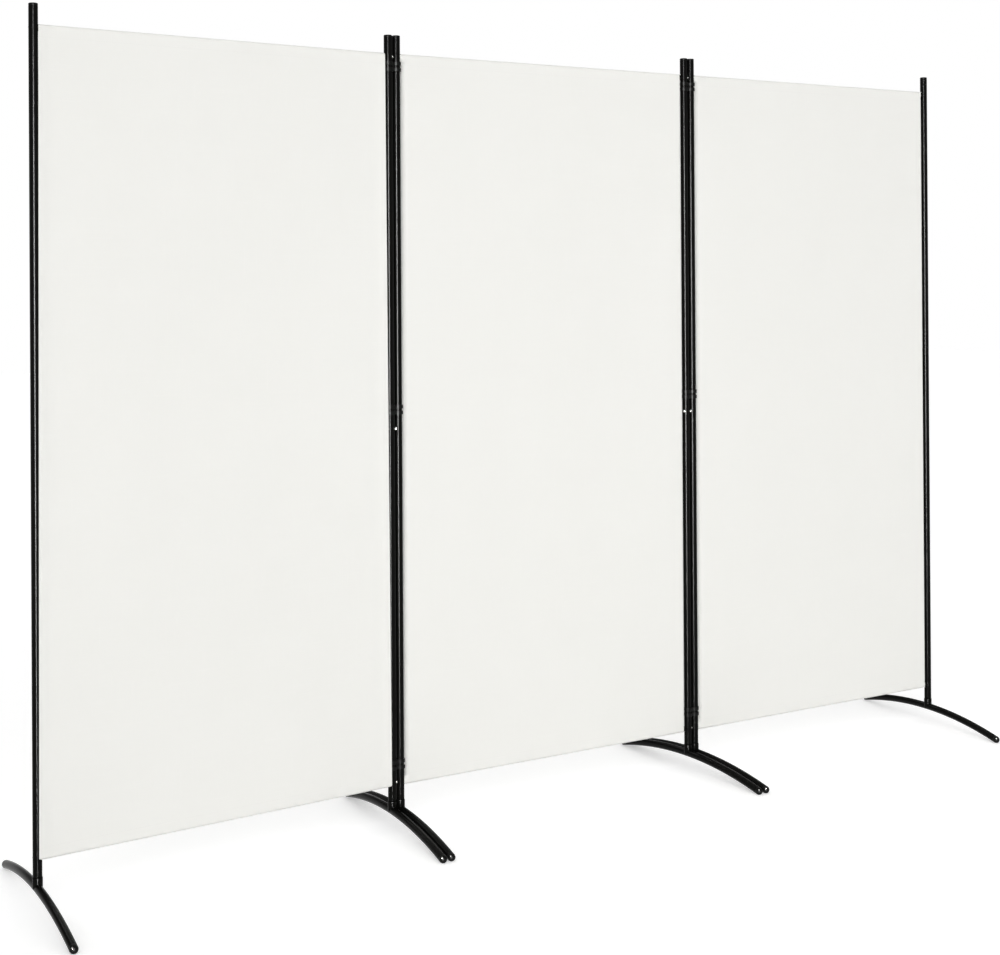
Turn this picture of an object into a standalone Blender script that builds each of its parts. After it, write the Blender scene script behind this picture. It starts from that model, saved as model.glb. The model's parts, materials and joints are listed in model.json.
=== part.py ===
"""Three-panel fabric room divider on arched feet, in metres, +Z up.

Each panel is a sheet of fabric stretched between a top bar and a bottom bar, which two round posts carry.
A post is two tubes joined by a sprung button, with a cap on top and an arched foot at the bottom.
Double-ring clips join the posts of neighbouring panels, so that the panels fold at both of those posts.
The front is -Y, the panels are numbered from -X to +X, and the posts from 1 to 6 the same way.
"""

import math

import bmesh
import bpy
from mathutils import Matrix, Vector

# Whole divider
POST_COUNT = 6
POST_SPACING = 0.846          # between the axes of a panel's two posts
TOTAL_HEIGHT = 1.811
GAP = 0.0003                  # between pieces that touch
OVERRUN = 0.005               # how far a cutter runs past what it cuts
WELD = 0.000001

# Rest pose, in degrees about +Z
LEFT_FOLD = 3.4               # panel 1 against panel 2
RIGHT_FOLD = 0.0              # panel 3 against panel 2
FOOT_TURNS = {1: -5.0, 2: -6.6, 3: -6.6, 4: -1.0, 5: -1.0, 6: -6.5}

# Posts
POST_RADIUS = 0.0095
POST_WALL = 0.001
POST_GAP = 0.0025             # between two posts that a clip joins
SEAM_SHARE = 0.5124           # of the total height, where the upper tube sits on the lower one
NECK_LENGTH = 0.060
NECK_WALL = 0.001
NECK_TAPER = 0.004
CAP_HEAD = 0.005
CAP_PLUG = 0.022
CAP_ROUNDING = 0.0018
CAP_CHAMFER = 0.001

# Sprung buttons
BUTTON_DROP = 0.017           # below the seam
BUTTON_RADIUS = 0.003
BUTTON_PROUD = 0.0017
BUTTON_DOME = 0.0012
BUTTON_BASE_RADIUS = 0.0045
BUTTON_BASE = 0.0012
LEAF_WIDTH = 0.006
LEAF_THICKNESS = 0.0008
LEAF_LENGTH = 0.036           # down from the button's axis
INNER_BUTTON_AZIMUTH = 65.0   # degrees from the front towards -X
OUTER_BUTTON_AZIMUTH = 180.0

# Bars, and the stubs on the posts that carry them
BAR_RADIUS = 0.0065
BAR_WALL = 0.0011
STUB_PLAY = 0.0004
STUB_LENGTH = 0.035

# Fabric
FABRIC_DROP = 0.041           # below the top of the posts
FABRIC_LIFT = 0.094           # above the floor
FABRIC_THICKNESS = 0.001
POCKET_PLAY = 0.0004
CLIP_SWEEP = 0.00075          # between the fabric's side edge and a turning clip

# Clips
TOP_CLIP_DROP = 0.031         # below the fabric's top
MIDDLE_CLIP_RISE = 0.026      # above the seam
BOTTOM_CLIP_RISE = 0.050      # above the fabric's bottom
CLIP_PLAY = 0.00035
CLIP_WALL = 0.0016
CLIP_BAND = 0.0083
CLIP_SLOT = 0.0054
CLIP_MOUTH = 27.0             # half of the ring's opening, in degrees
CLIP_WEB_LENGTH = 0.007       # along X, between the slots
CLIP_WEB_WIDTH = 0.013

# Feet
FOOT_RADIUS = 0.009
FOOT_WALL = 0.0013
FOOT_REACH = 0.2755           # from the post's axis to the middle of the foot's round end
FOOT_RISE = 0.0315            # of the arch's middle above its ends
SOLE_CUT = 0.0008
FOOT_CAP_SKIRT = 0.006
FOOT_CAP_PLUG = 0.014
COLLAR_PROUD = 0.001          # of the post
COLLAR_HEIGHT = 0.014
COLLAR_ROUNDING = 0.0015
SPIGOT_LENGTH = 0.060
SPIGOT_WALL = 0.0012
SPIGOT_CHAMFER = 0.0015

# Sides of the round shapes
POST_SIDES = 16
SMALL_SIDES = 12
BUTTON_SIDES = 8
POCKET_STEPS = 10
CLIP_OUTER_STEPS = 4
CLIP_BORE_STEPS = 14
CORNER_STEPS = 2
DOME_STEPS = 3
ARCH_STEPS = 8
ARCH_ROUND_STEPS = 4
BORE_ROUND_STEPS = 2

# Sizes that follow from those above
SEAM_HEIGHT = SEAM_SHARE * TOTAL_HEIGHT
FABRIC_TOP = TOTAL_HEIGHT - FABRIC_DROP
FABRIC_BOTTOM = FABRIC_LIFT
HINGE_PITCH = 2 * POST_RADIUS + POST_GAP
POST_BORE = POST_RADIUS - POST_WALL
NECK_RADIUS = POST_BORE - GAP
NECK_BORE = NECK_RADIUS - NECK_WALL
TUBE_TOP = TOTAL_HEIGHT - CAP_HEAD - GAP
BUTTON_HEIGHT = SEAM_HEIGHT - BUTTON_DROP
POCKET_BORE = BAR_RADIUS + POCKET_PLAY
POCKET_RADIUS = POCKET_BORE + FABRIC_THICKNESS
TOP_BAR_HEIGHT = FABRIC_TOP - POCKET_RADIUS
BOTTOM_BAR_HEIGHT = FABRIC_BOTTOM + POCKET_RADIUS
STUB_RADIUS = BAR_RADIUS - BAR_WALL - STUB_PLAY
CLIP_BORE = POST_RADIUS + CLIP_PLAY
CLIP_RADIUS = CLIP_BORE + CLIP_WALL
CLIP_HEIGHT = 2 * CLIP_BAND + CLIP_SLOT
CLIP_PLACES = {
    "top": FABRIC_TOP - TOP_CLIP_DROP,
    "middle": SEAM_HEIGHT + MIDDLE_CLIP_RISE,
    "bottom": FABRIC_BOTTOM + BOTTOM_CLIP_RISE,
}
FABRIC_EDGE = CLIP_RADIUS + CLIP_SWEEP        # from the post's axis
BAR_END = POST_RADIUS + GAP
ARCH_END_HEIGHT = FOOT_RADIUS - SOLE_CUT
ARCH_MIDDLE_HEIGHT = ARCH_END_HEIGHT + FOOT_RISE
ARCH_BEND = (FOOT_REACH ** 2 + FOOT_RISE ** 2) / (2 * FOOT_RISE)
ARCH_ANGLE = math.asin(FOOT_REACH / ARCH_BEND)
FOOT_BORE = FOOT_RADIUS - FOOT_WALL
FOOT_BORE_SIDES = 4 + 2 * BORE_ROUND_STEPS
FOOT_PLUG_RADIUS = FOOT_BORE * math.cos(math.pi / FOOT_BORE_SIDES) - GAP
COLLAR_RADIUS = POST_RADIUS + COLLAR_PROUD
COLLAR_TOP = ARCH_MIDDLE_HEIGHT + FOOT_RADIUS + COLLAR_HEIGHT
TUBE_BOTTOM = COLLAR_TOP + GAP


def clear_scene():
    for each in list(bpy.data.objects):
        bpy.data.objects.remove(each)


def material(name, colour, roughness, metallic=0.0):
    made = bpy.data.materials.new(name)
    made.use_nodes = True
    shader = made.node_tree.nodes["Principled BSDF"]
    shader.inputs["Base Color"].default_value = (*colour, 1.0)
    shader.inputs["Roughness"].default_value = roughness
    shader.inputs["Metallic"].default_value = metallic
    made.diffuse_color = (*colour, 1.0)
    return made


def place(name, mesh, parent=None, location=(0, 0, 0), turn=0.0, finish=None):
    """A new object for the mesh, at a place in its parent and turned about Z by degrees."""
    made = bpy.data.objects.new(name, mesh)
    bpy.context.scene.collection.objects.link(made)
    made.parent = parent
    made.location = location
    made.rotation_euler = (0, 0, math.radians(turn))
    if finish and finish.name not in mesh.materials:
        mesh.materials.append(finish)
    return made


def empty(name, parent=None, location=(0, 0, 0), turn=0.0):
    made = place(name, None, parent, location, turn)
    made.empty_display_size = POST_RADIUS
    return made


def mesh_from(shape, name):
    mesh = bpy.data.meshes.new(name)
    bmesh.ops.recalc_face_normals(shape, faces=shape.faces)
    shape.to_mesh(mesh)
    shape.free()
    return mesh


def turned(name, profile, sides, ring=False):
    """A profile of (radius, height) points turned round Z. A ring's profile closes on itself."""
    shape = bmesh.new()
    points = [shape.verts.new((radius, 0, height)) for radius, height in profile]
    ends = points[1:] + points[:1] if ring else points[1:]
    for start, end in zip(points, ends):
        shape.edges.new((start, end))
    bmesh.ops.spin(
        shape, geom=shape.verts[:] + shape.edges[:], cent=(0, 0, 0), axis=(0, 0, 1),
        angle=math.tau, steps=sides, use_merge=True,
    )
    bmesh.ops.remove_doubles(shape, verts=shape.verts, dist=WELD)
    return mesh_from(shape, name)


def rod(name, radius, low, high, sides):
    """A solid cylinder along Z."""
    return turned(name, [(0, low), (radius, low), (radius, high), (0, high)], sides)


def prism(name, outline, low, high):
    """An outline of (x, y) points, drawn up along Z."""
    shape = bmesh.new()
    bottom = [shape.verts.new((x, y, low)) for x, y in outline]
    top = [shape.verts.new((x, y, high)) for x, y in outline]
    shape.faces.new(reversed(bottom))
    shape.faces.new(top)
    for here, there in zip(range(-1, len(outline) - 1), range(len(outline))):
        shape.faces.new((bottom[here], bottom[there], top[there], top[here]))
    return mesh_from(shape, name)


def block(name, low, high):
    """A box between two corners."""
    outline = [(low[0], low[1]), (high[0], low[1]), (high[0], high[1]), (low[0], high[1])]
    return prism(name, outline, low[2], high[2])


def arc(radius, start, end, steps):
    """Points of an arc round the origin, from one angle to another in degrees."""
    angles = [math.radians(start + (end - start) * step / steps) for step in range(steps + 1)]
    return [(radius * math.cos(angle), radius * math.sin(angle)) for angle in angles]


def moved(mesh, matrix):
    """A copy of the mesh, moved by the matrix."""
    copy = mesh.copy()
    copy.transform(matrix)
    return copy


def along_x(mesh):
    return moved(mesh, Matrix.Rotation(math.radians(90), 4, "Y"))


def combined(name, base, *steps):
    """The base mesh after each (operation, mesh) Boolean step, as one mesh."""
    body = place(name, base)
    helpers = []
    for operation, mesh in steps:
        helper = place(f"{name}_{operation.lower()}", mesh)
        helper.hide_render = True
        helper.display_type = "WIRE"
        modifier = body.modifiers.new(operation.title(), "BOOLEAN")
        modifier.operation = operation
        modifier.solver = "EXACT"
        modifier.object = helper
        helpers.append(helper)
    bpy.context.view_layer.update()
    result = bpy.data.meshes.new_from_object(body.evaluated_get(bpy.context.evaluated_depsgraph_get()))
    for each in [body, *helpers]:
        bpy.data.objects.remove(each)
    result.name = name
    return result


def smooth(mesh, sharp_above=35.0):
    mesh.shade_smooth()
    mesh.set_sharp_from_angle(angle=math.radians(sharp_above))
    return mesh


def rounded_corner(radius, height, rounding):
    """Profile points of a rounded outer corner, from the side to the top."""
    return [
        (radius - rounding + x, height - rounding + z)
        for x, z in arc(rounding, 0, 90, CORNER_STEPS)
    ]


# Posts

def stub_mesh(height):
    """The welded stub that a bar slides over, from the post's axis towards +X."""
    stub = along_x(rod("stub", STUB_RADIUS, 0, POST_RADIUS + STUB_LENGTH, SMALL_SIDES))
    return moved(stub, Matrix.Translation((0, 0, height)))


def button_hole(azimuth):
    """A cutter for the hole of the button, which faces azimuth degrees from the front towards -X."""
    hole = rod("hole", BUTTON_RADIUS + GAP, 0, POST_RADIUS + OVERRUN, BUTTON_SIDES)
    return moved(hole, button_place(azimuth))


def button_place(azimuth):
    """Puts +Z along the button's outward direction, at the button's height."""
    outward = Matrix.Rotation(math.radians(90), 4, "X")
    turn = Matrix.Rotation(math.radians(-azimuth), 4, "Z")
    return Matrix.Translation((0, 0, BUTTON_HEIGHT)) @ turn @ outward


def upper_tube_mesh(azimuth):
    neck_low = SEAM_HEIGHT - NECK_LENGTH
    shoulder = SEAM_HEIGHT + GAP
    outside = turned("upper_tube", [
        (0, neck_low), (NECK_RADIUS - GAP, neck_low), (NECK_RADIUS, neck_low + NECK_TAPER),
        (NECK_RADIUS, shoulder), (POST_RADIUS, shoulder), (POST_RADIUS, TUBE_TOP), (0, TUBE_TOP),
    ], POST_SIDES)
    bore = turned("upper_bore", [
        (0, neck_low - OVERRUN), (NECK_BORE, neck_low - OVERRUN), (NECK_BORE, shoulder + NECK_TAPER),
        (POST_BORE, shoulder + 2 * NECK_TAPER), (POST_BORE, TUBE_TOP + OVERRUN), (0, TUBE_TOP + OVERRUN),
    ], POST_SIDES)
    return combined(
        "upper_tube", outside,
        ("UNION", stub_mesh(TOP_BAR_HEIGHT)), ("DIFFERENCE", bore), ("DIFFERENCE", button_hole(azimuth)),
    )


def lower_tube_mesh(azimuth):
    outside = rod("lower_tube", POST_RADIUS, TUBE_BOTTOM, SEAM_HEIGHT, POST_SIDES)
    bore = rod("lower_bore", POST_BORE, TUBE_BOTTOM - OVERRUN, SEAM_HEIGHT + OVERRUN, POST_SIDES)
    return combined(
        "lower_tube", outside,
        ("UNION", stub_mesh(BOTTOM_BAR_HEIGHT)), ("DIFFERENCE", bore), ("DIFFERENCE", button_hole(azimuth)),
    )


def cap_mesh():
    plug_radius = POST_BORE - GAP
    plug_low = TUBE_TOP + GAP - CAP_PLUG
    head_low = TUBE_TOP + GAP
    return turned("top_cap", [
        (0, plug_low), (plug_radius - CAP_CHAMFER, plug_low), (plug_radius, plug_low + CAP_CHAMFER),
        (plug_radius, head_low), (POST_RADIUS, head_low),
        *rounded_corner(POST_RADIUS, TOTAL_HEIGHT, CAP_ROUNDING), (0, TOTAL_HEIGHT),
    ], POST_SIDES)


def button_mesh():
    """The button with its base and spring leaf, its axis on Z and the post's axis through the origin along Y."""
    seat = math.sqrt(NECK_BORE ** 2 - BUTTON_BASE_RADIUS ** 2) - GAP
    tip = POST_RADIUS + BUTTON_PROUD
    pin = turned("button", [
        (0, seat - BUTTON_BASE), (BUTTON_BASE_RADIUS, seat - BUTTON_BASE), (BUTTON_BASE_RADIUS, seat),
        (BUTTON_RADIUS, seat), *rounded_corner(BUTTON_RADIUS, tip, BUTTON_DOME), (0, tip),
    ], BUTTON_SIDES)
    leaf = block(
        "leaf",
        (-LEAF_WIDTH / 2, -LEAF_LENGTH, seat - BUTTON_BASE - LEAF_THICKNESS / 2),
        (LEAF_WIDTH / 2, BUTTON_BASE_RADIUS, seat - BUTTON_BASE + LEAF_THICKNESS / 2),
    )
    return combined("snap_button", pin, ("UNION", leaf))


# Bars and fabric

def bar_mesh():
    length = POST_SPACING - 2 * BAR_END
    tube = turned("bar", [
        (BAR_RADIUS - BAR_WALL, 0), (BAR_RADIUS, 0), (BAR_RADIUS, length), (BAR_RADIUS - BAR_WALL, length),
    ], SMALL_SIDES, ring=True)
    return moved(along_x(tube), Matrix.Translation((BAR_END, 0, 0)))


def fabric_mesh():
    """A flat sheet whose top and bottom hems are sewn into pockets round the bars."""
    length = POST_SPACING - 2 * FABRIC_EDGE
    neck = math.degrees(math.asin(FABRIC_THICKNESS / 2 / POCKET_RADIUS))
    top = arc(POCKET_RADIUS, neck - 90, 270 - neck, POCKET_STEPS)
    outline = [(x, y + TOP_BAR_HEIGHT) for x, y in top] + [(-x, BOTTOM_BAR_HEIGHT - y) for x, y in top]
    upright = Matrix(((0, 0, 1, 0), (1, 0, 0, 0), (0, 1, 0, 0), (0, 0, 0, 1)))
    sheet = moved(prism("sheet", outline, 0, length), upright)
    bore = along_x(rod("pocket", POCKET_BORE, -OVERRUN, length + OVERRUN, SMALL_SIDES))
    bores = [moved(bore, Matrix.Translation((0, 0, height))) for height in (TOP_BAR_HEIGHT, BOTTOM_BAR_HEIGHT)]
    fabric = combined("fabric", sheet, *[("DIFFERENCE", each) for each in bores])
    return moved(fabric, Matrix.Translation((FABRIC_EDGE, 0, 0)))


# Clips

def clip_outline():
    """Two open rings back to back, one round the post at the origin and one round the post at -X."""
    web = 180 - math.degrees(math.asin(CLIP_WEB_WIDTH / 2 / CLIP_RADIUS))
    right = [
        *arc(CLIP_RADIUS, -web, -CLIP_MOUTH, CLIP_OUTER_STEPS),
        *arc(CLIP_BORE, -CLIP_MOUTH, CLIP_MOUTH - 360, CLIP_BORE_STEPS),
        *arc(CLIP_RADIUS, CLIP_MOUTH, web, CLIP_OUTER_STEPS),
    ]
    left = [(-HINGE_PITCH - x, y) for x, y in reversed(right)]
    return right + left


def clip_mesh():
    """A double clip whose rings are slotted into an upper and a lower band, which the web joins."""
    half = CLIP_HEIGHT / 2
    steps = []
    for side in (-1, 1):
        ends = sorted((side * CLIP_WEB_LENGTH / 2, side * (HINGE_PITCH + CLIP_RADIUS)))
        near, far = (end - HINGE_PITCH / 2 for end in ends)
        low = (near, -CLIP_RADIUS - OVERRUN, -CLIP_SLOT / 2)
        high = (far, CLIP_RADIUS + OVERRUN, CLIP_SLOT / 2)
        steps.append(("DIFFERENCE", block("slot", low, high)))
    return combined("clip", prism("clip", clip_outline(), -half, half), *steps)


# Feet

def arch_points():
    """The middle line of a foot, from the middle of its front nose to the middle of its rear one."""
    angles = [ARCH_ANGLE * (2 * step / ARCH_STEPS - 1) for step in range(ARCH_STEPS + 1)]
    return [
        Vector((0, ARCH_BEND * math.sin(angle), ARCH_MIDDLE_HEIGHT - ARCH_BEND * (1 - math.cos(angle))))
        for angle in angles
    ]


def arch_mesh(radius, round_steps, shorter):
    """A rod along the foot's middle line, shorter than it by this much at each end."""
    points = arch_points()
    points[0] += shorter * (points[1] - points[0]).normalized()
    points[-1] += shorter * (points[-2] - points[-1]).normalized()
    curve = bpy.data.curves.new("arch", "CURVE")
    curve.dimensions = "3D"
    curve.bevel_depth = radius
    curve.bevel_resolution = round_steps
    curve.use_fill_caps = True
    line = curve.splines.new("POLY")
    line.points.add(ARCH_STEPS)
    for place_on_line, point in zip(line.points, points):
        place_on_line.co = (*point, 1)
    holder = place("arch", curve)
    bpy.context.view_layer.update()
    mesh = bpy.data.meshes.new_from_object(holder.evaluated_get(bpy.context.evaluated_depsgraph_get()))
    bpy.data.objects.remove(holder)
    shape = bmesh.new()
    shape.from_mesh(mesh)
    bmesh.ops.remove_doubles(shape, verts=shape.verts, dist=WELD)
    return mesh_from(shape, "arch")


def foot_mesh():
    """The arch with the welded collar that the post stands on, and the spigot inside the post."""
    spigot_top = COLLAR_TOP + SPIGOT_LENGTH
    socket = turned("socket", [
        (0, ARCH_MIDDLE_HEIGHT), (COLLAR_RADIUS, ARCH_MIDDLE_HEIGHT),
        *rounded_corner(COLLAR_RADIUS, COLLAR_TOP, COLLAR_ROUNDING), (NECK_RADIUS, COLLAR_TOP),
        (NECK_RADIUS, spigot_top - SPIGOT_CHAMFER), (NECK_RADIUS - SPIGOT_CHAMFER, spigot_top), (0, spigot_top),
    ], POST_SIDES)
    spigot_bore = rod(
        "spigot_bore", NECK_RADIUS - SPIGOT_WALL - SPIGOT_CHAMFER,
        ARCH_MIDDLE_HEIGHT, spigot_top + OVERRUN, SMALL_SIDES,
    )
    return combined(
        "foot", arch_mesh(FOOT_RADIUS, ARCH_ROUND_STEPS, FOOT_CAP_SKIRT), ("UNION", socket),
        ("DIFFERENCE", arch_mesh(FOOT_BORE, BORE_ROUND_STEPS, -OVERRUN)), ("DIFFERENCE", spigot_bore),
    )


def foot_cap_mesh():
    """The front end of a foot: a plug in the tube, a short skirt and a round nose, cut flat underneath."""
    skirt_low = GAP - FOOT_CAP_SKIRT
    plug_low = skirt_low - FOOT_CAP_PLUG
    cap = turned("foot_cap", [
        (0, plug_low), (FOOT_PLUG_RADIUS - CAP_CHAMFER, plug_low), (FOOT_PLUG_RADIUS, plug_low + CAP_CHAMFER),
        (FOOT_PLUG_RADIUS, skirt_low), (FOOT_RADIUS, skirt_low), *arc(FOOT_RADIUS, 0, 90, DOME_STEPS)[:-1],
        (0, FOOT_RADIUS),
    ], SMALL_SIDES)
    front, second = arch_points()[:2]
    slope = math.atan2(second.z - front.z, second.y - front.y)
    cap = moved(cap, Matrix.Translation(front) @ Matrix.Rotation(math.radians(90) + slope, 4, "X"))
    reach = FOOT_RADIUS + OVERRUN
    floor = block("floor", (-reach, -FOOT_REACH - reach, -reach), (reach, -FOOT_REACH + reach, 0))
    return combined("foot_cap", cap, ("DIFFERENCE", floor))


# Assembly

def post_frames(root):
    """An empty on each post's axis, turned with its panel, and the two empties that carry the clips."""
    left_hinge = empty("left_hinge_axis", root, (-POST_SPACING / 2, 0, 0), LEFT_FOLD / 2)
    left_panel = empty("left_panel_axis", left_hinge, (-HINGE_PITCH, 0, 0), LEFT_FOLD / 2)
    right_hinge = empty("right_hinge_axis", root, (POST_SPACING / 2, 0, 0), RIGHT_FOLD / 2)
    right_panel = empty("right_panel_axis", right_hinge, (HINGE_PITCH, 0, 0), RIGHT_FOLD / 2)
    frames = {
        1: empty("post_1_axis", left_panel, (-POST_SPACING, 0, 0)),
        2: left_panel,
        3: empty("post_3_axis", root, (-POST_SPACING / 2, 0, 0)),
        4: empty("post_4_axis", root, (POST_SPACING / 2, 0, 0)),
        5: right_panel,
        6: empty("post_6_axis", right_panel, (POST_SPACING, 0, 0)),
    }
    return frames, left_hinge, right_hinge


def foot_frames(frames, left_hinge, right_hinge):
    """An empty on each foot's swivel axis. Feet 2 to 5 turn with their clips, feet 1 and 6 alone."""
    carriers = {
        1: (frames[1], 0, LEFT_FOLD), 2: (left_hinge, -HINGE_PITCH, LEFT_FOLD / 2), 3: (left_hinge, 0, LEFT_FOLD / 2),
        4: (right_hinge, 0, RIGHT_FOLD / 2), 5: (right_hinge, HINGE_PITCH, RIGHT_FOLD / 2), 6: (frames[6], 0, RIGHT_FOLD),
    }
    return {
        number: empty(f"foot_{number}_axis", carrier, (offset, 0, 0), FOOT_TURNS[number] - turned_by)
        for number, (carrier, offset, turned_by) in carriers.items()
    }


def button_azimuth(number):
    return OUTER_BUTTON_AZIMUTH if number in (1, POST_COUNT) else INNER_BUTTON_AZIMUTH


def add_posts(frames, paint, plastic, zinc):
    """The tubes, cap and button of each post. A right-hand post's stubs point to -X, so its tubes are turned round."""
    tubes = {}
    cap = smooth(cap_mesh())
    button = smooth(button_mesh())
    for number, frame in frames.items():
        turn = 0 if number % 2 else 180
        azimuth = button_azimuth(number)
        inner = azimuth + turn
        if inner not in tubes:
            tubes[inner] = smooth(upper_tube_mesh(inner)), smooth(lower_tube_mesh(inner))
        upper, lower = tubes[inner]
        place(f"post_{number}_upper_tube", upper, frame, turn=turn, finish=paint)
        place(f"post_{number}_lower_tube", lower, frame, turn=turn, finish=paint)
        place(f"post_{number}_top_cap", cap, frame, finish=plastic)
        pin = place(f"post_{number}_snap_button", button, frame, finish=zinc)
        pin.matrix_local = button_place(azimuth)


def add_panels(frames, paint, cloth):
    """Each panel's fabric and bars, in the frame of its left-hand post."""
    fabric = smooth(fabric_mesh())
    bar = smooth(bar_mesh())
    for panel in (1, 2, 3):
        frame = frames[2 * panel - 1]
        place(f"panel_{panel}_fabric", fabric, frame, finish=cloth)
        place(f"panel_{panel}_top_bar", bar, frame, (0, 0, TOP_BAR_HEIGHT), finish=paint)
        place(f"panel_{panel}_bottom_bar", bar, frame, (0, 0, BOTTOM_BAR_HEIGHT), finish=paint)


def add_clips(left_hinge, right_hinge, plastic):
    clip = smooth(clip_mesh())
    for side, hinge, offset in (("left", left_hinge, 0), ("right", right_hinge, HINGE_PITCH)):
        for level, height in CLIP_PLACES.items():
            place(f"{side}_{level}_clip", clip, hinge, (offset, 0, height), finish=plastic)


def add_feet(feet, paint, plastic):
    foot = smooth(foot_mesh())
    cap = smooth(foot_cap_mesh())
    for number, frame in feet.items():
        place(f"foot_{number}", foot, frame, finish=paint)
        place(f"foot_{number}_front_cap", cap, frame, finish=plastic)
        place(f"foot_{number}_rear_cap", cap, frame, turn=180, finish=plastic)


def centre_on_floor(root):
    """Moves everything so that the origin is the middle of the divider's box, on the floor."""
    bpy.context.view_layer.update()
    corners = [
        each.matrix_world @ Vector(corner)
        for each in bpy.data.objects if each.type == "MESH"
        for corner in each.bound_box
    ]
    middle = [(min(c[axis] for c in corners) + max(c[axis] for c in corners)) / 2 for axis in (0, 1)]
    root.location = (-middle[0], -middle[1], 0)


def main():
    clear_scene()
    paint = material("black_powder_coat", (0.012, 0.012, 0.011), 0.32)
    plastic = material("black_plastic", (0.014, 0.014, 0.013), 0.42)
    cloth = material("white_polyester", (0.82, 0.83, 0.80), 0.85)
    zinc = material("zinc_steel", (0.62, 0.62, 0.60), 0.28, 1.0)
    root = empty("divider")
    frames, left_hinge, right_hinge = post_frames(root)
    feet = foot_frames(frames, left_hinge, right_hinge)
    add_posts(frames, paint, plastic, zinc)
    add_panels(frames, paint, cloth)
    add_clips(left_hinge, right_hinge, plastic)
    add_feet(feet, paint, plastic)
    centre_on_floor(root)


main()
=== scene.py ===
"""Looks of the three-panel fabric room divider, in metres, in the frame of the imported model.

Black tube posts with caps, sprung buttons, clips and arched feet carry three sheets of white cloth.
The front is -Y. Posts are numbered 1 to 6 and panels 1 to 3, from -X to +X.
"""
import json
import math

import bmesh
import bpy
from mathutils import Matrix, Vector

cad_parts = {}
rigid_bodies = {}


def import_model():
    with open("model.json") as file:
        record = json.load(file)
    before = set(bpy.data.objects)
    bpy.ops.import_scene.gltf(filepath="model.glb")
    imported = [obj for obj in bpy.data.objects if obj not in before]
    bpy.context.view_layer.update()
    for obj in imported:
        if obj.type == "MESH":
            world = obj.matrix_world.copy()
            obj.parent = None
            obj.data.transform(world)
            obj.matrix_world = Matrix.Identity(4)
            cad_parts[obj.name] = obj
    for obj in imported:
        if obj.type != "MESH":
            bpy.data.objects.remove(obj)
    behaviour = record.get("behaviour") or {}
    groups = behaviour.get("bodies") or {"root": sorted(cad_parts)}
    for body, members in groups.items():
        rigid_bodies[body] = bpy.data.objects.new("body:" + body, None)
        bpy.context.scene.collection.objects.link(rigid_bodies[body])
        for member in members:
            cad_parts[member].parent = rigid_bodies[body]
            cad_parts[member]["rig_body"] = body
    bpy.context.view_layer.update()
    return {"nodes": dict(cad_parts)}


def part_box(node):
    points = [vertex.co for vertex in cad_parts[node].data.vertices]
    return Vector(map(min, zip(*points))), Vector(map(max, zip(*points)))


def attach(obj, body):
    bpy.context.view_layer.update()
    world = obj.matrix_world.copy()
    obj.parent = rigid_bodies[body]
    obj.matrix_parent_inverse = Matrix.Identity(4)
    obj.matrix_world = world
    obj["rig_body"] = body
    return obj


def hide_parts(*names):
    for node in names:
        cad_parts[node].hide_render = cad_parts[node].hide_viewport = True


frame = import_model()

# Whole divider, as in the frame
TOTAL_HEIGHT = 1.811
GAP = 0.0003
OVERRUN = 0.005
WELD = 0.000001
SLIVER = 0.00001              # of what a Boolean leaves
SHARP_ABOVE = 30.0            # degrees between two faces that meet in an edge
POST_NUMBERS = range(1, 7)
END_POSTS = (1, 6)
PANEL_NUMBERS = (1, 2, 3)
FOOT_TURNS = {1: -5.0, 2: -6.6, 3: -6.6, 4: -1.0, 5: -1.0, 6: -6.5}

# Posts
POST_RADIUS = 0.0095
POST_BORE = 0.0085
HINGE_PITCH = 0.0215
SEAM_HEIGHT = 0.92796
NECK_LENGTH = 0.060
NECK_RADIUS = 0.0082
NECK_BORE = 0.0072
NECK_TAPER = 0.004
CAP_HEAD = 0.005
CAP_PLUG = 0.022
CAP_ROUNDING = 0.0018
EDGE = 0.0003                 # broken edges of the tubes
TUBE_TOP = TOTAL_HEIGHT - CAP_HEAD - GAP
STUB_RADIUS = 0.005
STUB_LENGTH = 0.035

# Sprung buttons
BUTTON_HEIGHT = 0.91096
BUTTON_RADIUS = 0.003
BUTTON_PROUD = 0.0017
BUTTON_DOME = 0.0015
BUTTON_BASE_RADIUS = 0.0045
BUTTON_BASE = 0.0012
LEAF_WIDTH = 0.006
LEAF_THICKNESS = 0.0008
LEAF_LENGTH = 0.036
INNER_BUTTON_AZIMUTH = 65.0   # degrees from the front towards -X
OUTER_BUTTON_AZIMUTH = 180.0

# Bars
BAR_RADIUS = 0.0065
BAR_WALL = 0.0011
BAR_END = POST_RADIUS + GAP
TOP_BAR_HEIGHT = 1.7621
BOTTOM_BAR_HEIGHT = 0.1019
SCREW_RADIUS = 0.0027
SCREW_PROUD = 0.0008
SCREW_ROUNDING = 0.00072
SCREW_SLOT = 0.0006
SCREW_SLOT_LENGTH = 0.00324
SCREW_SUNK = 0.0006           # of the painted ones, on the outer sides of the end posts

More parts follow.
